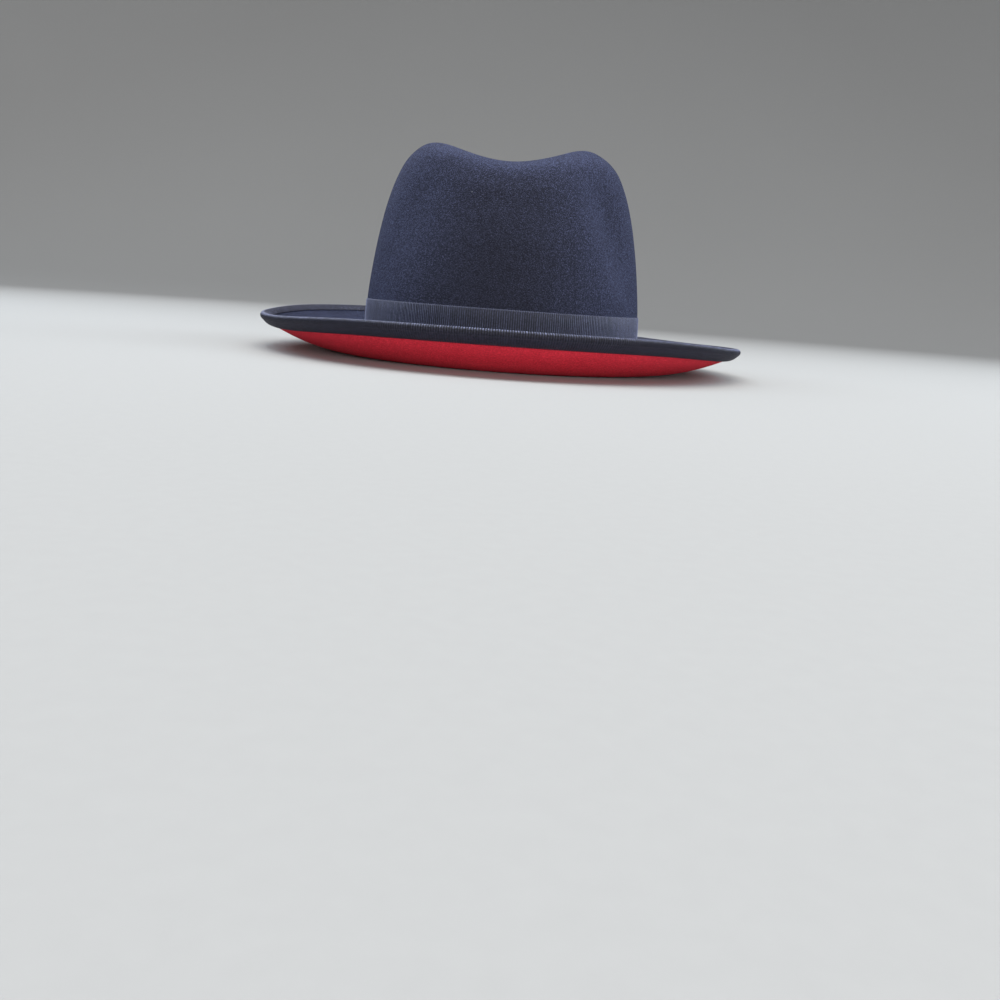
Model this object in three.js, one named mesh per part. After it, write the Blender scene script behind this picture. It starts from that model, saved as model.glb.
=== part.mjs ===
// A felt fedora: creased and pinched crown, upturned brim with a contrasting underside,
// a ribbon band around the crown and a ribbon folded over the brim's edge.
// Millimetres, +Z up, the front of the hat towards -Y, resting on the floor at z = 0.
// Angles go around the crown from the front, positive towards +X.
import * as THREE from 'three';

// Thicknesses of the cloth
const FELT = 1.8;
const FACING = 1.0;
const RIBBON = 1.0;
const GAP = 0.3;

// Brim: its reach from the crown, the flat ring that it rests on and how it curls up
const BRIM_REACH = 56.1;
const REST_WIDTH = 6;
const BRIM_CURL = 1.89;
const BREAK_RADIUS = 3.5;

// Ribbons: the band's height, and how far the folded ribbon lies over the brim and under it
const BAND_HEIGHT = 26;
const TOP_LEG = 3.6;
const UNDER_LEG = 6;

// Height of the brim's top face on the rest ring, and of the crown's foot and the band's top
const BRIM_TOP = FACING + GAP + FELT;
const CROWN_FOOT = BRIM_TOP + BREAK_RADIUS;
const BAND_TOP = CROWN_FOOT + BAND_HEIGHT;

// Outer face of the crown as blocked, before it is pinched and creased: an oval at each height
const CROWN_SECTIONS = [
  { height: CROWN_FOOT, halfWidth: 85.6, front: 102.5, back: 102.5 },
  { height: BAND_TOP, halfWidth: 84.8, front: 100.5, back: 102 },
  { height: 55, halfWidth: 82.2, front: 96.5, back: 99.5 },
  { height: 75, halfWidth: 78.8, front: 92, back: 95 },
  { height: 92, halfWidth: 74.8, front: 87.7, back: 89.5 },
  { height: 106.5, halfWidth: 69.8, front: 83.3, back: 83 },
  { height: 117.5, halfWidth: 63.8, front: 75.9, back: 75.5 },
  { height: 125.5, halfWidth: 54.6, front: 58.4, back: 64.5 },
  { height: 129.8, halfWidth: 40.5, front: 45.4, back: 49 },
  { height: 131.6, halfWidth: 20.5, front: 25, back: 26 },
  { height: 132, halfWidth: 0, front: 0, back: 0 },
];

// Lift of the brim's edge above its rest ring, in twelve directions around the hat
const BRIM_LIFTS = [
  { direction: -180, lift: 17.7 },
  { direction: -150, lift: 21.4 },
  { direction: -120, lift: 20.5 },
  { direction: -90, lift: 17.3 },
  { direction: -60, lift: 16.2 },
  { direction: -30, lift: 18.9 },
  { direction: 0, lift: 19.5 },
  { direction: 30, lift: 18.8 },
  { direction: 60, lift: 15.3 },
  { direction: 90, lift: 13.9 },
  { direction: 120, lift: 13.1 },
  { direction: 150, lift: 14.9 },
];

// Lengthwise crease in the top of the crown, a little to one side: its depth in the middle and at the
// front and back lips
const CREASE = {
  centre: -3.5,
  halfWidth: 51.6,
  depth: 25,
  frontLip: 9.5,
  backLip: 8,
  frontReach: 77,
  backReach: 66,
  fadeFrom: 64,
  fadeTo: 121,
};

// A dent on each side of the crown's front, as thumb and finger leave it: deeper towards +X, and
// slanting back as it runs down
const PINCH = {
  angle: 44,
  slant: 0.27,
  spread: 13,
  leftDepth: 2,
  rightDepth: 5.6,
  height: 88,
  fadeUp: 30,
  fadeDown: 42,
};

// Colour and roughness of each cloth
const NAVY_FELT = { color: '#30344a', roughness: 0.95 };
const RED_FELT = { color: '#9c1f2a', roughness: 0.95 };
const NAVY_RIBBON = { color: '#282c40', roughness: 0.6 };

// Facets: columns around the hat, rows between two crown sections, in the break and on the brim
const COLUMNS = 56;
const SECTION_ROWS = 2;
const CROWN_ROWS = SECTION_ROWS * (CROWN_SECTIONS.length - 1);
const BREAK_ROWS = 3;
const BRIM_ROWS = 5;
const SLOPE_STEP = 1e-3;

const { radToDeg, smoothstep } = THREE.MathUtils;

// Smooth curve through four neighbouring values, t from 0 at b to 1 at c
function throughFour(a, b, c, d, t) {
  const linear = c - a;
  const square = 2 * a - 5 * b + 4 * c - d;
  const cube = 3 * (b - c) + d - a;
  return b + 0.5 * t * (linear + t * (square + t * cube));
}

function fade(distance, width) {
  return Math.exp(-((distance / width) ** 2));
}

// One column of the section table at a place from 0 at the foot to 1 at the apex
function sectionSize(column, place) {
  const last = CROWN_SECTIONS.length - 1;
  const row = Math.min(Math.floor(place * last), last - 1);
  const value = (index) => CROWN_SECTIONS[index][column];
  const before = row === 0 ? 2 * value(0) - value(1) : value(row - 1);
  // The far side of the apex mirrors the near side
  const mirror = column === 'height' ? 1 : -1;
  const after = row + 2 > last ? mirror * value(last - 1) : value(row + 2);
  return throughFour(before, value(row), value(row + 1), after, place * last - row);
}

function brimLift(angle) {
  const count = BRIM_LIFTS.length;
  const place = ((radToDeg(angle) - BRIM_LIFTS[0].direction) / 360) * count;
  const row = Math.floor(place);
  const lift = (step) => BRIM_LIFTS[(row + step + count) % count].lift;
  return throughFour(lift(-1), lift(0), lift(1), lift(2), place - row);
}

function pinchDepth(angle, height) {
  const above = height - PINCH.height;
  const across = Math.abs(radToDeg(angle)) - PINCH.angle + PINCH.slant * above;
  const depth = angle > 0 ? PINCH.rightDepth : PINCH.leftDepth;
  return depth * fade(above, above > 0 ? PINCH.fadeUp : PINCH.fadeDown) * fade(across, PINCH.spread);
}

function creaseDepth(x, y, height) {
  const aside = x - CREASE.centre;
  if (Math.abs(aside) >= CREASE.halfWidth) {
    return 0;
  }
  const lip = y < 0 ? CREASE.frontLip : CREASE.backLip;
  const reach = y < 0 ? CREASE.frontReach : CREASE.backReach;
  const depth = lip + (CREASE.depth - lip) * smoothstep(1 - Math.abs(y) / reach, 0, 1);
  const across = 0.5 + 0.5 * Math.cos((Math.PI * aside) / CREASE.halfWidth);
  return depth * across * smoothstep(height, CREASE.fadeFrom, CREASE.fadeTo);
}

// Outer face of the crown, place from 0 at the foot to 1 at the apex
function crownPoint(angle, place) {
  const height = sectionSize('height', place);
  const end = Math.cos(angle) > 0 ? 'front' : 'back';
  const oval = new THREE.Vector2(
    sectionSize('halfWidth', place) * Math.sin(angle),
    -sectionSize(end, place) * Math.cos(angle),
  );
  oval.setLength(Math.max(oval.length() - pinchDepth(angle, height), 0));
  return new THREE.Vector3(oval.x, oval.y, height - creaseDepth(oval.x, oval.y, height));
}

// A point beyond the crown's foot: how far out along the foot oval's normal, and its height
function beyondFoot(angle, out, height) {
  const foot = CROWN_SECTIONS[0];
  const reach = Math.cos(angle) > 0 ? foot.front : foot.back;
  const normal = new THREE.Vector2(Math.sin(angle) / foot.halfWidth, -Math.cos(angle) / reach).normalize();
  return new THREE.Vector3(
    foot.halfWidth * Math.sin(angle) + out * normal.x,
    -reach * Math.cos(angle) + out * normal.y,
    height,
  );
}

// The rounded break between crown and brim, turn from 0 at the crown to 1 at the brim
function breakPoint(angle, turn) {
  const swing = (turn * Math.PI) / 2;
  const out = BREAK_RADIUS * (1 - Math.cos(swing));
  return beyondFoot(angle, out, CROWN_FOOT - BREAK_RADIUS * Math.sin(swing));
}

// Top face of the brim, run in millimetres from the break
function brimPoint(angle, run) {
  const way = Math.max(run - REST_WIDTH, 0) / (BRIM_REACH - REST_WIDTH);
  return beyondFoot(angle, BREAK_RADIUS + run, BRIM_TOP + brimLift(angle) * way ** BRIM_CURL);
}

// Places on the hat's outer face: 0 at the apex, 1 at the crown's foot, 2 where the brim starts
// and 3 at its edge
function facePoint(angle, place) {
  if (place <= 1) {
    return crownPoint(angle, 1 - place);
  }
  return place <= 2 ? breakPoint(angle, place - 1) : brimPoint(angle, (place - 2) * BRIM_REACH);
}

function brimPlace(run) {
  return 2 + run / BRIM_REACH;
}

function faceNormal(angle, place) {
  if (place === 0) {
    return new THREE.Vector3(0, 0, 1);
  }
  const along = facePoint(angle, place + SLOPE_STEP).sub(facePoint(angle, place - SLOPE_STEP));
  const around = facePoint(angle + SLOPE_STEP, place).sub(facePoint(angle - SLOPE_STEP, place));
  return along.cross(around).normalize();
}

// A ring of points at one place on the hat, sunk by depth below the outer face
function ring(place, depth) {
  return Array.from({ length: COLUMNS }, (_, column) => {
    const angle = (column / COLUMNS - 0.5) * 2 * Math.PI;
    return facePoint(angle, place).addScaledVector(faceNormal(angle, place), -depth);
  });
}

// Triangles between two neighbouring rings of corner numbers; a ring of one corner is a pole
function ringFaces(near, far) {
  const faces = [];
  for (let column = 0; column < COLUMNS; column += 1) {
    const next = (column + 1) % COLUMNS;
    if (far.length > 1) {
      faces.push(near[column % near.length], far[column], far[next]);
    }
    if (near.length > 1) {
      faces.push(near[column], far[next % far.length], near[next]);
    }
  }
  return faces;
}

// A closed body whose skin passes through the rings in turn, back to the first where it is a loop
function skinThrough(rings, loop) {
  const corners = rings.flat();
  let count = 0;
  const numbers = rings.map((points) => points.map(() => count++));
  const faces = numbers.slice(1).flatMap((far, index) => ringFaces(numbers[index], far));
  if (loop) {
    faces.push(...ringFaces(numbers.at(-1), numbers[0]));
  }
  const geometry = new THREE.BufferGeometry().setFromPoints(corners);
  geometry.setIndex(faces);
  geometry.computeVertexNormals();
  return geometry;
}

// Rings down the outer face between two depths: out over the first and back under the second
function wallRings(places, topDepth, underDepth) {
  const out = places.map((place) => ring(place, topDepth));
  const back = places.map((place) => ring(place, underDepth)).reverse();
  return [...out, ...back];
}

function spread(from, to, steps) {
  return Array.from({ length: steps }, (_, step) => from + ((to - from) * (step + 1)) / steps);
}

// Places of the ribbon's two long edges, and of the rows of facets in the break and on the brim
const underLegPlace = brimPlace(BRIM_REACH - UNDER_LEG);
const topLegPlace = brimPlace(BRIM_REACH - TOP_LEG);
const breakPlaces = spread(1, 2, BREAK_ROWS);
const brimPlaces = [
  ...[REST_WIDTH, ...spread(REST_WIDTH, BRIM_REACH - UNDER_LEG, BRIM_ROWS)].map(brimPlace),
  topLegPlace,
  brimPlace(BRIM_REACH),
];

// Crown and brim in one piece of felt
function feltBody() {
  const places = [...spread(0, 1, CROWN_ROWS), ...breakPlaces, ...brimPlaces];
  const apex = facePoint(0, 0);
  const apexInside = apex.clone().setZ(apex.z - FELT);
  return skinThrough([[apex], ...wallRings(places, 0, FELT), [apexInside]], false);
}

// Facing under the brim, from inside the break to the edge, flat on the rest ring
function underbrim() {
  return skinThrough(wallRings([...breakPlaces, ...brimPlaces], FELT + GAP, BRIM_TOP), true);
}

// Ribbon around the foot of the crown, between its two lowest sections
function hatBand() {
  const places = spread(0, 1, CROWN_ROWS).slice(-1 - SECTION_ROWS);
  return skinThrough(wallRings(places, -GAP - RIBBON, -GAP), true);
}

// Ribbon folded over the brim's edge, with a rounded fold outside
function brimBinding() {
  const outer = GAP + RIBBON;
  const fold = [0, Math.PI / 4, Math.PI / 2];
  const overTop = fold.map((swing) => ring(
    brimPlace(BRIM_REACH + outer * Math.sin(swing)),
    -outer * Math.cos(swing),
  ));
  const roundUnder = fold.map((swing) => ring(
    brimPlace(BRIM_REACH + outer * Math.cos(swing)),
    BRIM_TOP + outer * Math.sin(swing),
  ));
  const insideCorner = brimPlace(BRIM_REACH + GAP);
  return skinThrough([
    ring(topLegPlace, -outer),
    ...overTop,
    ...roundUnder,
    ring(topLegPlace, BRIM_TOP + outer),
    ring(underLegPlace, BRIM_TOP + outer),
    ring(underLegPlace, BRIM_TOP + GAP),
    ring(topLegPlace, BRIM_TOP + GAP),
    ring(insideCorner, BRIM_TOP + GAP),
    ring(insideCorner, -GAP),
    ring(topLegPlace, -GAP),
  ], true);
}

function piece(name, geometry, cloth) {
  const mesh = new THREE.Mesh(geometry, new THREE.MeshStandardMaterial({ ...cloth, metalness: 0 }));
  mesh.name = name;
  return mesh;
}

const hat = new THREE.Group();
hat.add(
  piece('felt_body', feltBody(), NAVY_FELT),
  piece('underbrim', underbrim(), RED_FELT),
  piece('brim_binding', brimBinding(), NAVY_RIBBON),
  piece('hat_band', hatBand(), NAVY_RIBBON),
);

// The uneven brim's box is centred over the origin
const middle = new THREE.Box3().setFromObject(hat).getCenter(new THREE.Vector3());
hat.position.set(-middle.x, -middle.y, 0);

export default hat;
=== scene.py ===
import math

import bpy
import numpy as np
from mathutils import Matrix, Vector


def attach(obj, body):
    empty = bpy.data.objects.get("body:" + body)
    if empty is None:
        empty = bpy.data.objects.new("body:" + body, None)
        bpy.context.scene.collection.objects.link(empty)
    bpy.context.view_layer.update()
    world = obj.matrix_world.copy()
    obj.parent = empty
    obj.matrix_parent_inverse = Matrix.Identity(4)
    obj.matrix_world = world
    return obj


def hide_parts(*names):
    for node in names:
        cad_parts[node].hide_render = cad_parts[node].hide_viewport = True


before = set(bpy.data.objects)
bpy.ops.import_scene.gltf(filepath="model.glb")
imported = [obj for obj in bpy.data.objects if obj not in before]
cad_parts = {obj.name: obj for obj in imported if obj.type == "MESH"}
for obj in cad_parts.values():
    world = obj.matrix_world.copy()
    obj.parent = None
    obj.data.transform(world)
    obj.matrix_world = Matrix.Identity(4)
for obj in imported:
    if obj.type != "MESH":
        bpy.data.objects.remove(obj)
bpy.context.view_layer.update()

# Sizes in millimetres, as in the part's source: +Z up, the front towards -Y, angles from the front towards +X
MM = 0.001
FELT = 1.8
FACING = 1.0
GAP = 0.3
BRIM_REACH = 56.1
REST_WIDTH = 6.0
BRIM_CURL = 1.89
BREAK_RADIUS = 3.5
BAND_HEIGHT = 26.0
TOP_LEG = 3.6
UNDER_LEG = 6.0
BRIM_TOP = FACING + GAP + FELT
CROWN_FOOT = BRIM_TOP + BREAK_RADIUS
BAND_TOP = CROWN_FOOT + BAND_HEIGHT
CENTRING = np.array([0.165, 0.077, 0.0])  # puts the middle of the hat's box on the origin

# Outer face of the crown as blocked: height, half width, reach to the front and to the back
CROWN_SECTIONS = np.array([
    (CROWN_FOOT, 85.6, 102.5, 102.5),
    (BAND_TOP, 84.8, 100.5, 102.0),
    (55.0, 82.2, 96.5, 99.5),
    (75.0, 78.8, 92.0, 95.0),
    (92.0, 74.8, 87.7, 89.5),
    (106.5, 69.8, 83.3, 83.0),
    (117.5, 63.8, 75.9, 75.5),
    (125.5, 54.6, 58.4, 64.5),
    (129.8, 40.5, 45.4, 49.0),
    (131.6, 20.5, 25.0, 26.0),
    (132.0, 0.0, 0.0, 0.0),
])

# Lift of the brim's edge above its rest ring, every 30 degrees from the back at -180
BRIM_LIFTS = np.array([17.7, 21.4, 20.5, 17.3, 16.2, 18.9, 19.5, 18.8, 15.3, 13.9, 13.1, 14.9])

# Lengthwise crease in the top: its place across, its depths and reaches, and the heights where it fades in
CREASE = dict(
    centre=-3.5,
    half_width=51.6,
    depth=25.0,
    front_lip=9.5,
    back_lip=8.0,
    front=77.0,
    back=66.0,
    low=64.0,
    high=121.0,
)

# Dents at the front, angles in degrees: left and right are their depths, up and down how far they fade
PINCH = dict(
    angle=44.0,
    spread=13.0,
    left=2.0,
    right=5.6,
    height=88.0,
    up=30.0,
    down=42.0,
    slant=0.27,
)

# Places on the outer face, from the apex to the brim's edge
APEX, FOOT, BRIM_START, BRIM_EDGE = 0.0, 1.0, 2.0, 3.0

SLOPE_STEP = 1e-3
TINY = 1e-9
STEPS_ROUND = 4000


def through_four(a, b, c, d, t):
    """Smooth curve through four neighbouring values, t from 0 at b to 1 at c."""
    return b + 0.5 * t * (c - a + t * (2 * a - 5 * b + 4 * c - d + t * (3 * (b - c) + d - a)))


def smoothstep(x, low=0.0, high=1.0):
    t = np.clip((x - low) / (high - low), 0, 1)
    return t * t * (3 - 2 * t)


def crown_sections(place):
    """Rows of the section table at places from 0 at the foot to 1 at the apex."""
    mirrored = CROWN_SECTIONS[-2] * np.array([1, -1, -1, -1])
    rows = np.vstack([2 * CROWN_SECTIONS[0] - CROWN_SECTIONS[1], CROWN_SECTIONS, mirrored])
    last = len(CROWN_SECTIONS) - 1
    spot = place * last
    row = np.clip(np.floor(spot).astype(int), 0, last - 1)
    near = [rows[row + step] for step in range(4)]
    return np.moveaxis(through_four(*near, (spot - row)[..., None]), -1, 0)


def crown_point(angle, place):
    """A point of the crown's outer face, dented at the front and creased along the top."""
    height, half_width, front, back = crown_sections(place)
    x = half_width * np.sin(angle)
    y = -np.where(np.cos(angle) > 0, front, back) * np.cos(angle)
    above = height - PINCH["height"]
    across = np.degrees(np.abs(angle)) - PINCH["angle"] + PINCH["slant"] * above
    fade = np.exp(-((above / np.where(above > 0, PINCH["up"], PINCH["down"])) ** 2))
    dent = np.where(angle > 0, PINCH["right"], PINCH["left"])
    push = dent * fade * np.exp(-((across / PINCH["spread"]) ** 2))
    radius = np.hypot(x, y) + TINY
    keep = np.maximum(radius - push, 0) / radius
    x, y = x * keep, y * keep
    lip = np.where(y < 0, CREASE["front_lip"], CREASE["back_lip"])
    reach = np.where(y < 0, CREASE["front"], CREASE["back"])
    depth = lip + (CREASE["depth"] - lip) * smoothstep(1 - np.abs(y) / reach)
    aside = np.clip((x - CREASE["centre"]) / CREASE["half_width"], -1, 1)
    groove = 0.5 + 0.5 * np.cos(np.pi * aside)
    drop = depth * groove * smoothstep(height, CREASE["low"], CREASE["high"])
    return np.stack([x, y, height - drop], -1)


def beyond_foot(angle, out, height):
    """A point beyond the crown's foot: out along the foot oval's normal, at a height."""
    _, half_width, front, back = CROWN_SECTIONS[0]
    reach = np.where(np.cos(angle) > 0, front, back)
    foot = np.stack([half_width * np.sin(angle), -reach * np.cos(angle)], -1)
    normal = np.stack([np.sin(angle) / half_width, -np.cos(angle) / reach], -1)
    normal = normal / np.linalg.norm(normal, axis=-1, keepdims=True)
    flat = foot + normal * out[..., None]
    return np.concatenate([flat, height[..., None]], -1)


def brim_lift(angle):
    count = len(BRIM_LIFTS)
    spot = (np.degrees(angle) + 180) / 360 * count
    row = np.floor(spot).astype(int)
    return through_four(*[BRIM_LIFTS[(row + step) % count] for step in (-1, 0, 1, 2)], spot - row)


def face_point(angle, place):
    """Outer face of the felt at angles around the hat and places from the apex to the brim's edge."""
    angle, place = np.broadcast_arrays(angle, place)
    crown = crown_point(angle, np.clip(FOOT - place, -SLOPE_STEP, 1))
    swing = np.clip(place - FOOT, 0, 1) * np.pi / 2
    bend = beyond_foot(angle, BREAK_RADIUS * (1 - np.cos(swing)), CROWN_FOOT - BREAK_RADIUS * np.sin(swing))
    run = (place - BRIM_START) * BRIM_REACH
    way = np.maximum(run - REST_WIDTH, 0) / (BRIM_REACH - REST_WIDTH)
    brim = beyond_foot(angle, BREAK_RADIUS + run, BRIM_TOP + brim_lift(angle) * way**BRIM_CURL)
    where = place[..., None]
    return np.where(where <= FOOT, crown, np.where(where <= BRIM_START, bend, brim))


def face_normal(angle, place):
    along = face_point(angle, place + SLOPE_STEP) - face_point(angle, place - SLOPE_STEP)
    around = face_point(angle + SLOPE_STEP, place) - face_point(angle - SLOPE_STEP, place)
    normal = np.cross(along, around)
    length = np.linalg.norm(normal, axis=-1, keepdims=True)
    return np.where(length > TINY, normal / np.maximum(length, TINY), np.array([0.0, 0.0, 1.0]))


def sunk(angle, place, depth):
    """Points below the outer face by a depth, or above it where the depth is negative."""
    angle, place, depth = np.broadcast_arrays(angle, place, depth)
    return face_point(angle, place) + face_normal(angle, place) * -depth[..., None]


def brim_place(run):
    """Place of a distance out along the brim."""
    return BRIM_START + np.asarray(run, float) / BRIM_REACH


def way_round(place):
    """Fine angles around the hat at one place, and the distance gone at each of them."""
    fine = np.linspace(-np.pi, np.pi, STEPS_ROUND + 1)
    points = face_point(fine, np.full_like(fine, place))
    return fine, np.concatenate([[0], np.cumsum(np.linalg.norm(np.diff(points, axis=0), axis=1))])


def even_angles(place, count):
    """Angles of columns that stand at equal distances around the hat at one place."""
    fine, way = way_round(place)
    return np.interp(np.arange(count) / count * way[-1], way, fine)


def make_skin(name, rings, poles=(), attributes=None):
    """A closed mesh through rings of points in millimetres, back to the first ring or to two poles."""
    count, columns = rings.shape[:2]
    points = rings.reshape(-1, 3)
    number = np.arange(count * columns).reshape(count, columns)
    turned = np.roll(number, -1, axis=1)
    first = slice(0, -1) if len(poles) else slice(None)
    near, near_next = number[first], turned[first]
    far, far_next = np.roll(number, -1, axis=0)[first], np.roll(turned, -1, axis=0)[first]
    faces = np.stack([near, far, far_next, near_next], -1).reshape(-1, 4).tolist()
    if len(poles):
        points = np.vstack([points, poles])
        top, bottom = len(points) - 2, len(points) - 1
        faces += [(top, a, b) for a, b in zip(number[0], turned[0])]
        faces += [(bottom, b, a) for a, b in zip(number[-1], turned[-1])]
    mesh = bpy.data.meshes.new(name)
    mesh.from_pydata(((points + CENTRING) * MM).tolist(), [], faces)
    for key, values in (attributes or {}).items():
        layer = mesh.attributes.new(key, "FLOAT", "POINT")
        layer.data.foreach_set("value", values.reshape(-1).astype(np.float32))
    mesh.validate()
    mesh.shade_smooth()
    thing = bpy.data.objects.new(name, mesh)
    bpy.context.scene.collection.objects.link(thing)
    return thing


def wall(angles, places, top_depth, under_depth):
    """Rings out over one depth and back under another."""
    out = sunk(angles[None], places[:, None], np.array(top_depth))
    back = sunk(angles[None], places[::-1, None], np.array(under_depth))
    return np.concatenate([out, back])


def finish_piece(thing, node, material):
    thing.data.materials.append(material)
    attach(thing, "root")
    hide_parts(node)


# Materials: scales are repeats to a metre, reliefs are metres, and a noise mostly stays within NOISE_RANGE
NOISE_RANGE = (0.3, 0.7)
SLANT_POWER = 1.5
FELT_SCALES = dict(speck=2150.0, fibre=2900.0, pile=2300.0, cloud=45.0)
FELT_TONES = dict(speck=0.6, fibre=0.4, cloud=0.08)
FELT_HEIGHTS = dict(pile=0.6, speck=0.15, fibre=0.25)
FELT_RELIEF = 0.0009
FIBRE_CURL = 0.8
SPECK_POWER = 2.0
# The painted sheen on felt: its strength is varied from speck to speck within this range
PAINTED_SHEEN_RANGE = (0.55, 1.45)
LINT_SPOTS = dict(scale=75.0, size=0.025, rarity=0.8)
RIBBON_SCALES = dict(fuzz=1300.0, speck=1700.0)
RIBBON_TONES = dict(cord=0.8, fuzz=0.2)
CORD_POWER = 3.0
CORD_RANGE = (0.45, 1.55)
# The painted highlight on ribbons: its strength is varied from speck to speck within this range
PAINTED_HIGHLIGHT_RANGE = (0.15, 1.6)
THREAD_PITCH = 0.32
THREAD_RELIEF = 0.00004
GLOSS_RANGE = 0.15
PAPER_SCALES = dict(grain=320.0, cloud=1.5)
PAPER_TONES = dict(grain=0.4, cloud=0.6)
PAPER_RELIEF = 0.0001


class Nodes:
    """Short hand for a material's node tree."""

    def __init__(self, name):
        self.material = bpy.data.materials.new(name)
        self.material.use_nodes = True
        self.tree = self.material.node_tree
        self.shader = self.tree.nodes["Principled BSDF"]
        self.place = self.add("ShaderNodeTexCoord").outputs["Object"]

    def add(self, kind, inputs=(), **settings):
        node = self.tree.nodes.new(kind)
        for key, value in settings.items():
            setattr(node, key, value)
        for key, value in dict(inputs).items():
            self.feed(node.inputs[key], value)
        return node

    def feed(self, socket, value):
        if isinstance(value, bpy.types.NodeSocket):
            self.tree.links.new(value, socket)
        else:
            socket.default_value = value

    def noise(self, scale, detail=2.0, distortion=0.0):
        inputs = {"Vector": self.place, "Scale": scale, "Detail": detail, "Distortion": distortion}
        return self.add("ShaderNodeTexNoise", inputs).outputs["Fac"]

    def math(self, operation, a, b=0.0, clamp=False):
        return self.add("ShaderNodeMath", {0: a, 1: b}, operation=operation, use_clamp=clamp).outputs[0]

    def spread(self, value, source, target=(0.0, 1.0)):
        """A value moved from one range to another."""
        inputs = {"Value": value, "From Min": source[0], "From Max": source[1]}
        inputs.update({"To Min": target[0], "To Max": target[1]})
        return self.add("ShaderNodeMapRange", inputs).outputs["Result"]

    def varied(self, value, chance, target):
        """A value times a random share from a range, where chance goes from 0 to 1."""
        return self.math("MULTIPLY", value, self.spread(chance, (0.0, 1.0), target))

    def mix(self, factor, a, b):
        node = self.add("ShaderNodeMix", data_type="RGBA")
        self.feed(node.inputs["Factor"], factor)
        self.feed(node.inputs[6], a)
        self.feed(node.inputs[7], b)
        return node.outputs[2]

    def weighted(self, *parts):
        """Sum of values times their weights."""
        total = None
        for value, weight in parts:
            share = self.math("MULTIPLY", value, weight)
            total = share if total is None else self.math("ADD", total, share)
        return total

    def cells(self, scale):
        """A random tone from 0 to 1 for each small cell."""
        node = self.add("ShaderNodeTexVoronoi", {"Vector": self.place, "Scale": scale})
        return self.add("ShaderNodeSeparateColor", {"Color": node.outputs["Color"]}).outputs["Red"]

    def spots(self, scale, size, rarity):
        """1 in scattered small spots and 0 elsewhere."""
        node = self.add("ShaderNodeTexVoronoi", {"Vector": self.place, "Scale": scale})
        chosen = self.add("ShaderNodeSeparateColor", {"Color": node.outputs["Color"]}).outputs["Green"]
        small = self.math("LESS_THAN", node.outputs["Distance"], size)
        return self.math("MULTIPLY", small, self.math("GREATER_THAN", chosen, rarity))

    def slant(self, inputs=()):
        """How much sheen shows: 0 on a face seen straight on, 1 on one seen edge on."""
        node = self.add("ShaderNodeLayerWeight", {"Blend": 0.5, **dict(inputs)})
        return self.math("POWER", node.outputs["Facing"], SLANT_POWER)

    def attribute(self, name):
        return self.add("ShaderNodeAttribute", attribute_name=name).outputs["Fac"]

    def bump(self, height, distance, strength=1.0):
        node = self.add("ShaderNodeBump", {"Height": height, "Distance": distance, "Strength": strength})
        return node.outputs["Normal"]

    def set(self, **inputs):
        for key, value in inputs.items():
            self.feed(self.shader.inputs[key.replace("_", " ").title().replace("Ior", "IOR")], value)


def felt_material(name, dark, light, painted_sheen, lint, depth, sheen, sheen_tint):
    """Felted wool: specks and short fibres, soft clouding, a little lint, and a painted sheen that pales the
    colour where the face is seen edge on.
    """
    n = Nodes(name)
    speck = n.cells(FELT_SCALES["speck"])
    fibre = n.noise(FELT_SCALES["fibre"], distortion=FIBRE_CURL)
    pile = n.noise(FELT_SCALES["pile"], detail=1.0)
    cloud = n.noise(FELT_SCALES["cloud"])
    tone = n.weighted(
        (n.math("POWER", speck, SPECK_POWER), FELT_TONES["speck"]),
        (n.spread(fibre, NOISE_RANGE), FELT_TONES["fibre"]),
        (n.spread(cloud, NOISE_RANGE), FELT_TONES["cloud"]),
    )
    height = n.weighted(
        (pile, FELT_HEIGHTS["pile"]),
        (speck, FELT_HEIGHTS["speck"]),
        (fibre, FELT_HEIGHTS["fibre"]),
    )
    relief = n.bump(height, FELT_RELIEF)
    # Painted sheen: the colour pales towards the sheen colour where the face is seen edge on
    lit = n.mix(n.varied(n.slant({"Normal": relief}), speck, PAINTED_SHEEN_RANGE), light, painted_sheen)
    cloth = n.mix(n.math("POWER", tone, depth), dark, lit)
    n.set(
        base_color=n.mix(n.spots(**LINT_SPOTS), cloth, lint),
        roughness=0.9,
        specular_ior_level=0.1,
        sheen_weight=sheen,
        sheen_roughness=0.5,
        sheen_tint=sheen_tint,
        normal=relief,
    )
    return n.material


def ribbon_material(name, valley, crest, painted_sheen_crest, painted_highlight, gloss, specular, sheen):
    """Grosgrain: cords with fine threads running over them, a painted sheen where the face is seen edge on,
    and a painted highlight in pale specks where the cords turn over an edge and along the binding's top leg.
    """
    n = Nodes(name)
    thread = n.math("SINE", n.math("MULTIPLY", n.attribute("across"), 2 * math.pi / THREAD_PITCH))
    fuzz = n.noise(RIBBON_SCALES["fuzz"])
    speck = n.cells(RIBBON_SCALES["speck"])
    cord = n.varied(n.math("POWER", n.attribute("crest"), CORD_POWER), speck, CORD_RANGE)
    tone = n.weighted((cord, RIBBON_TONES["cord"]), (n.spread(fuzz, NOISE_RANGE), RIBBON_TONES["fuzz"]))
    # Painted sheen: the crests pale towards a second colour where the face is seen edge on
    cloth = n.mix(tone, valley, n.mix(n.slant(), crest, painted_sheen_crest))
    # Painted highlight: pale specks where the mesh marks it, on the binding's fold and top leg and the band's
    # looped edges
    painted_highlight_specks = n.math("MULTIPLY", n.attribute("painted_highlight"), n.spread(speck, (0.0, 1.0), PAINTED_HIGHLIGHT_RANGE), clamp=True)
    n.set(
        base_color=n.mix(painted_highlight_specks, cloth, painted_highlight),
        roughness=n.spread(fuzz, NOISE_RANGE, (gloss, gloss + GLOSS_RANGE)),
        specular_ior_level=specular,
        sheen_weight=sheen,
        sheen_roughness=0.3,
        sheen_tint=(0.7, 0.76, 1.0, 1.0),
        normal=n.bump(thread, THREAD_RELIEF, 0.5),
    )
    return n.material


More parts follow.
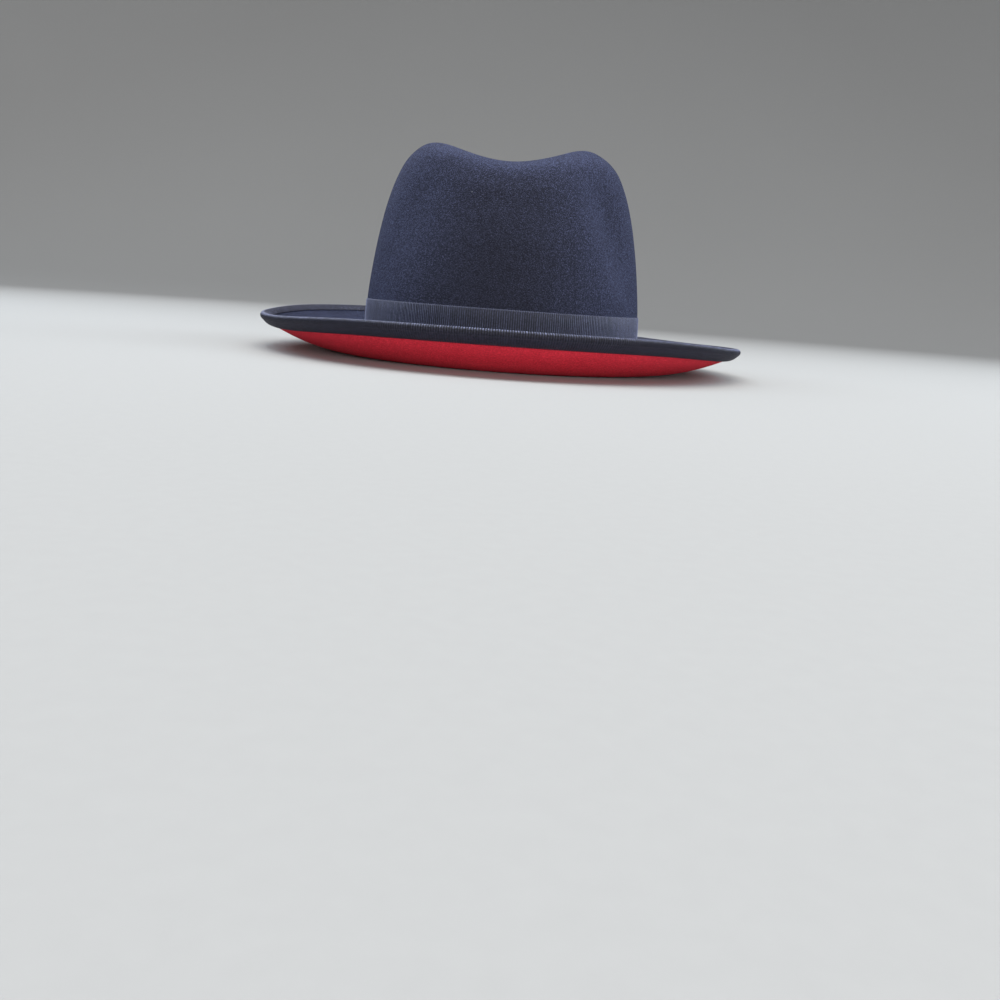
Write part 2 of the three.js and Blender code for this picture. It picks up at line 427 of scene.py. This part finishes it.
def stage_material():
    """Plain pale paper."""
    n = Nodes("stage_paper")
    grain = n.noise(PAPER_SCALES["grain"], detail=3.0)
    cloud = n.noise(PAPER_SCALES["cloud"])
    tone = n.weighted((grain, PAPER_TONES["grain"]), (cloud, PAPER_TONES["cloud"]))
    n.set(
        base_color=n.mix(tone, (0.33, 0.328, 0.325, 1), (0.37, 0.368, 0.365, 1)),
        roughness=0.85,
        specular_ior_level=0.2,
        normal=n.bump(grain, PAPER_RELIEF, 0.3),
    )
    return n.material


# Below, each felt's palest colour is a painted sheen, shown where its face is seen edge on
navy_felt = felt_material(
    "navy_felt",
    dark=(0.0092, 0.0096, 0.0148, 1),
    light=(0.0222, 0.0232, 0.0360, 1),
    painted_sheen=(0.114, 0.133, 0.255, 1),
    lint=(0.13, 0.14, 0.17, 1),
    depth=1.5,
    sheen=0.05,
    sheen_tint=(0.3, 0.4, 1.0, 1),
)
red_felt = felt_material(
    "red_felt",
    dark=(0.42, 0.009, 0.021, 1),
    light=(0.99, 0.046, 0.083, 1),
    painted_sheen=(0.99, 0.058, 0.095, 1),
    lint=(0.7, 0.2, 0.2, 1),
    depth=0.75,
    sheen=0.03,
    sheen_tint=(0.9, 0.4, 0.4, 1),
)
# The binding's cords are darker than the band's, a painted shade for its face that turns down, and its palest
# colour is a painted highlight for the fold and top leg
binding_ribbon = ribbon_material(
    "binding_ribbon",
    valley=(0.0012, 0.0012, 0.0025, 1),
    crest=(0.0235, 0.0232, 0.0385, 1),
    painted_sheen_crest=(0.0235, 0.0232, 0.0385, 1),
    painted_highlight=(0.30, 0.33, 0.53, 1),
    gloss=0.38,
    specular=0.14,
    sheen=0.04,
)
# The band's crests pale to a painted sheen where seen edge on, and its looped edges get a faint painted
# highlight
band_ribbon = ribbon_material(
    "band_ribbon",
    valley=(0.0012, 0.0014, 0.003, 1),
    crest=(0.044, 0.049, 0.091, 1),
    painted_sheen_crest=(0.28, 0.31, 0.52, 1),
    painted_highlight=(0.05, 0.056, 0.10, 1),
    gloss=0.4,
    specular=0.2,
    sheen=0.3,
)

# The felt of crown and brim, and the facing under the brim, whose inner edge lies inside the break
FELT_COLUMNS = 256
CROWN_ROWS = 120
BREAK_ROWS = 8
REST_ROWS = 3
CURL_ROWS = 40
FACING_START = 2  # row of the break where the facing begins

felt_angles = even_angles(FOOT, FELT_COLUMNS)
crown_places = np.linspace(APEX, FOOT, CROWN_ROWS + 1)[1:]
break_places = np.linspace(FOOT, BRIM_START, BREAK_ROWS + 1)[1:]
rest_runs = np.linspace(0, REST_WIDTH, REST_ROWS + 1)[1:]
curl_runs = np.linspace(REST_WIDTH, BRIM_REACH, CURL_ROWS + 1)[1:]
brim_places = brim_place(np.concatenate([rest_runs, curl_runs]))


def make_felt_body():
    places = np.concatenate([crown_places, break_places, brim_places])
    apex = face_point(np.zeros(1), np.full(1, APEX))[0]
    poles = [apex, apex - np.array([0, 0, FELT])]
    return make_skin("felt_body_cloth", wall(felt_angles, places, 0.0, FELT), poles)


def make_underbrim():
    places = np.concatenate([break_places[FACING_START:], brim_places])
    return make_skin("underbrim_cloth", wall(felt_angles, places, FELT + GAP, BRIM_TOP))


# Ribbons: cords across the ribbon, four columns to a cord, each cord with a tone of its own
CORD_PITCH = 1.28
CORD_SHAPE = np.array([0.0, 0.72, 1.0, 0.72])
CORD_RISE = 0.26
CORD_TONES = (0.5, 1.0)
RIBBON_GAP = 0.06
RIBBON_BASE = 0.36


def cord_columns(place):
    """Angles of the columns, how near each is to a cord's crest, and the tone of its cord."""
    cords = round(way_round(place)[1][-1] / CORD_PITCH)
    angles = even_angles(place, cords * len(CORD_SHAPE))
    tones = np.random.default_rng(cords).uniform(*CORD_TONES, cords)
    return angles, np.tile(CORD_SHAPE, cords), np.repeat(tones, len(CORD_SHAPE))


def ribbon_rise(crest, share):
    """Height of a ribbon's outer face over the cloth under it, at a share of its full thickness."""
    return RIBBON_GAP + (RIBBON_BASE - RIBBON_GAP + CORD_RISE * crest) * share


class Ribbon:
    """Rings of a ribbon, and what its material reads: cords' crests, distance across, and how much painted
    highlight shows.
    """

    def __init__(self):
        self.rings = []
        self.values = {"crest": [], "across": [], "painted_highlight": []}

    def add(self, ring, crest, across, painted_highlight):
        self.rings.append(ring)
        self.values["crest"].append(crest)
        self.values["across"].append(np.full_like(crest, across))
        self.values["painted_highlight"].append(painted_highlight)

    def make(self, name):
        attributes = {key: np.stack(rows) for key, rows in self.values.items()}
        return make_skin(name, np.stack(self.rings), attributes=attributes)


# The band: rows from its edge inwards, as distance from the edge and share of the ribbon's full thickness
BAND_EDGE_ROWS = [(0.0, 0.45), (0.25, 0.8), (0.8, 1.0)]
BAND_MIDDLE_SHARES = (0.25, 0.5, 0.75)
BAND_LOOP = 0.75
BAND_LOOP_REACH = 0.39
BAND_TONE_POWER = 0.3
BAND_BACK_ROWS = 5
BAND_BACK_LOW = 0.1
BAND_BACK_HIGH = BAND_HEIGHT - 0.4
FOOT_SHARE = 0.2
FOOT_STEPS = 400


def crown_place_at(height):
    """Place on the outer face of a height within the band."""
    spots = np.linspace(0, FOOT_SHARE, FOOT_STEPS + 1)
    heights = crown_sections(spots)[0]
    return FOOT - np.interp(height, heights, spots)


def make_hat_band():
    angles, crest, tone = cord_columns(FOOT)
    plain = np.zeros_like(crest)
    band = Ribbon()
    for distance in np.linspace(0, BAND_HEIGHT, BAND_BACK_ROWS):
        inset = np.clip(distance, BAND_BACK_LOW, BAND_BACK_HIGH)
        place = crown_place_at(plain + CROWN_FOOT + inset)
        band.add(sunk(angles, place, plain - RIBBON_GAP), plain, distance, plain)
    upper_rows = [(BAND_HEIGHT - distance, share, 1) for distance, share in BAND_EDGE_ROWS]
    middle_rows = [(BAND_HEIGHT * part, 1.0, 0) for part in BAND_MIDDLE_SHARES[::-1]]
    lower_rows = [(distance, share, -1) for distance, share in BAND_EDGE_ROWS[::-1]]
    for distance, share, side in upper_rows + middle_rows + lower_rows:
        looped = min(distance, BAND_HEIGHT - distance) < BAND_LOOP_REACH
        height = CROWN_FOOT + distance + BAND_LOOP * (crest - 1) * side * looped
        ring = sunk(angles, crown_place_at(height), -ribbon_rise(crest, share))
        # The looped edges get a faint painted highlight
        band.add(ring, crest * tone**BAND_TONE_POWER, distance, crest * tone * looped)
    return band.make("hat_band_ribbon")


# The binding: over the top face, round a full fold and back under the facing
LEG_ROWS = [  # share of the leg's length, share of the ribbon's full thickness
    (0.0, 0.7),
    (0.06, 1.0),
    (0.2, 1.0),
    (0.4, 1.0),
    (0.65, 1.0),
    (0.85, 1.0),
    (1.0, 1.0),
]
LEG_LOOP = 0.3
LEG_LOOP_REACH = 0.1
TOP_SWELL = 0.2
UNDER_SWELL = 0.7
UNDER_TONE = 0.8
UNDER_END = 16.0
# Some values below set the binding's painted highlight: how strong it is on the top leg and round the fold,
# how far it reaches and how sharply it keeps to the cords' crests
TOP_PAINTED_HIGHLIGHT = 0.3
FOLD_REACH = 2.2
FOLD_STEPS = 10
FOLD_ROW = 0.5
FOLD_PAINTED_HIGHLIGHT = 0.33
FOLD_PAINTED_HIGHLIGHT_REACH = 0.24
PAINTED_HIGHLIGHT_POWER = 6
BINDING_BACK_INSET = 0.35


def make_brim_binding():
    angles, crest, tone = cord_columns(BRIM_EDGE)
    plain = np.zeros_like(crest)
    binding = Ribbon()

    def add_row(run, depth, shown_crest, across, painted_highlight=0.0):
        ring = sunk(angles, brim_place(run), depth)
        binding.add(ring, shown_crest, across, shown_crest**PAINTED_HIGHLIGHT_POWER * tone * painted_highlight)

    def leg_run(length, way):
        """Runs along a leg of the ribbon, from its looped edge to the brim's edge."""
        loop = LEG_LOOP * (1 - crest) * (way < LEG_LOOP_REACH)
        return BRIM_REACH - length * (1 - way) + loop

    def evened(share):
        """The crests with a share of their contrast taken away."""
        return share + (1 - share) * crest

    for way, share in LEG_ROWS:
        rise = ribbon_rise(crest, share) + TOP_SWELL * math.sin(math.pi * way)
        # A faint painted highlight along the top leg
        add_row(leg_run(TOP_LEG, way), -rise, crest, TOP_LEG * way, TOP_PAINTED_HIGHLIGHT)
    middle = BRIM_TOP / 2
    for step in range(1, FOLD_STEPS):
        turn = step / FOLD_STEPS
        swing = math.pi * turn
        out = (FOLD_REACH + CORD_RISE * (crest - 1)) * math.sin(swing)
        depth = middle - (middle + ribbon_rise(crest, 1.0)) * math.cos(swing)
        # A painted highlight round the fold, a third of the way from the top
        painted_highlight = max(0.0, 1 - abs(turn - FOLD_PAINTED_HIGHLIGHT) / FOLD_PAINTED_HIGHLIGHT_REACH)
        shown_crest = evened(UNDER_TONE * max(0.0, 2 * turn - 1))
        add_row(BRIM_REACH + out, depth, shown_crest, TOP_LEG + step * FOLD_ROW, painted_highlight)
    for way, share in LEG_ROWS[::-1]:
        rise = ribbon_rise(crest, share) + UNDER_SWELL * math.sin(math.pi * way)
        add_row(leg_run(UNDER_LEG, way), BRIM_TOP + rise, evened(UNDER_TONE), UNDER_END - UNDER_LEG * way)
    for run, depth in (
        (BRIM_REACH - UNDER_LEG + BINDING_BACK_INSET, BRIM_TOP + RIBBON_GAP),
        (BRIM_REACH, BRIM_TOP + RIBBON_GAP),
        (BRIM_REACH + RIBBON_GAP, BRIM_TOP),
        (BRIM_REACH + RIBBON_GAP, 0.0),
        (BRIM_REACH, -RIBBON_GAP),
        (BRIM_REACH - TOP_LEG + BINDING_BACK_INSET, -RIBBON_GAP),
    ):
        add_row(plain + run, plain + depth, plain, 0.0)
    return binding.make("brim_binding_ribbon")


finish_piece(make_felt_body(), "felt_body", navy_felt)
finish_piece(make_underbrim(), "underbrim", red_felt)
finish_piece(make_hat_band(), "hat_band", band_ribbon)
finish_piece(make_brim_binding(), "brim_binding", binding_ribbon)

# Stage, in metres: a pale floor that curves up into a wall all round
STAGE_MIDDLE = 0.35
STAGE_FLOOR = 1.4
STAGE_BEND = 0.9
STAGE_BEND_STEPS = 24
STAGE_WALL = 1.6
STAGE_COLUMNS = 96


def make_stage():
    profile = [(STAGE_MIDDLE, 0.0), (STAGE_FLOOR, 0.0)]
    for swing in np.linspace(0, math.pi / 2, STAGE_BEND_STEPS + 1)[1:]:
        profile.append((STAGE_FLOOR + STAGE_BEND * math.sin(swing), STAGE_BEND * (1 - math.cos(swing))))
    profile.append((STAGE_FLOOR + STAGE_BEND, STAGE_WALL))
    turns = np.linspace(0, 2 * math.pi, STAGE_COLUMNS, endpoint=False)
    points = [(r * math.cos(turn), r * math.sin(turn), z) for r, z in profile for turn in turns]
    points.append((0.0, 0.0, 0.0))
    columns = [(column, (column + 1) % STAGE_COLUMNS) for column in range(STAGE_COLUMNS)]
    faces = []
    for row in range(len(profile) - 1):
        low, high = row * STAGE_COLUMNS, (row + 1) * STAGE_COLUMNS
        faces += [(low + here, high + here, high + beside, low + beside) for here, beside in columns]
    faces += [(here, beside, len(points) - 1) for here, beside in columns]
    mesh = bpy.data.meshes.new("stage")
    mesh.from_pydata(points, [], faces)
    mesh.shade_smooth()
    mesh.materials.append(stage_material())
    stage = bpy.data.objects.new("stage", mesh)
    bpy.context.scene.collection.objects.link(stage)


make_stage()

# Camera, in metres: the photograph's side of the hat, a little above the floor
CAMERA_TURN = math.radians(3.0)
CAMERA_DISTANCE = 0.646
CAMERA_HEIGHT = 0.038
CAMERA_PITCH = math.radians(11.35)
CAMERA_YAW = math.radians(0.66)
CAMERA_ROLL = math.radians(4.2)
CAMERA_LENS = 36
CAMERA_NEAR = 0.01


def make_camera():
    level = Vector((math.sin(CAMERA_YAW), math.cos(CAMERA_YAW), 0))
    forward = level * math.cos(CAMERA_PITCH) - Vector((0, 0, math.sin(CAMERA_PITCH)))
    right = Vector((math.cos(CAMERA_YAW), -math.sin(CAMERA_YAW), 0))
    up = right.cross(forward)
    across_view = right * math.cos(CAMERA_ROLL) + up * math.sin(CAMERA_ROLL)
    up_view = up * math.cos(CAMERA_ROLL) - right * math.sin(CAMERA_ROLL)
    seat = Matrix((across_view, up_view, -forward)).transposed().to_4x4()
    seat.translation = (0, -CAMERA_DISTANCE, CAMERA_HEIGHT)
    data = bpy.data.cameras.new("camera")
    data.lens = CAMERA_LENS
    data.sensor_width = CAMERA_LENS
    data.clip_start = CAMERA_NEAR
    camera = bpy.data.objects.new("camera", data)
    camera.matrix_world = Matrix.Rotation(-CAMERA_TURN, 4, "Z") @ seat
    camera.location += Vector(CENTRING * MM)
    bpy.context.scene.collection.objects.link(camera)
    bpy.context.scene.camera = camera


make_camera()

# Soft boxes that face the hat, with azimuths from the front and positive to the viewer's right
# In each row: azimuth, elevation, distance, width, height, power, colour, spread
LIGHTS = {
    "front": (5, 7.5, 1.35, 2.0, 0.3, 8.3, (1.0, 1.0, 1.0), 110),
    "right_rim": (90, 40, 1.2, 0.4, 0.9, 11.3, (0.84, 0.93, 1.0), 180),
    "left_broad": (-104, 51, 1.2, 0.7, 0.9, 10.2, (0.78, 0.90, 1.0), 180),
    "back_left": (-150, 35, 1.3, 0.7, 0.7, 2.5, (0.97, 0.98, 1.0), 180),
    "top": (0, 86, 1.4, 1.2, 1.2, 21, (1.0, 0.97, 0.94), 180),
}
LIGHT_AIM = Vector((0, 0, 0.07))
SKY_COLOUR = (0.95, 0.97, 1.0, 1)
SKY_STRENGTH = 0.35


def soft_light(name, azimuth, elevation, distance, width, height, power, colour, spread):
    data = bpy.data.lights.new(name, "AREA")
    data.shape = "RECTANGLE"
    data.size, data.size_y = width, height
    data.energy = power
    data.spread = math.radians(spread)
    data.color = colour
    lamp = bpy.data.objects.new(name, data)
    side, rise = math.radians(azimuth), math.radians(elevation)
    back = Vector((math.sin(side) * math.cos(rise), -math.cos(side) * math.cos(rise), math.sin(rise)))
    lamp.location = LIGHT_AIM + back * distance
    lamp.rotation_mode = "QUATERNION"
    lamp.rotation_quaternion = (-back).to_track_quat("-Z", "Y")
    lamp.visible_camera = False
    bpy.context.scene.collection.objects.link(lamp)


for name, light in LIGHTS.items():
    soft_light(name, *light)

world = bpy.data.worlds.new("world")
world.use_nodes = True
sky = world.node_tree.nodes["Background"]
sky.inputs["Color"].default_value = SKY_COLOUR
sky.inputs["Strength"].default_value = SKY_STRENGTH
bpy.context.scene.world = world
bpy.context.scene.view_settings.view_transform = "Standard"
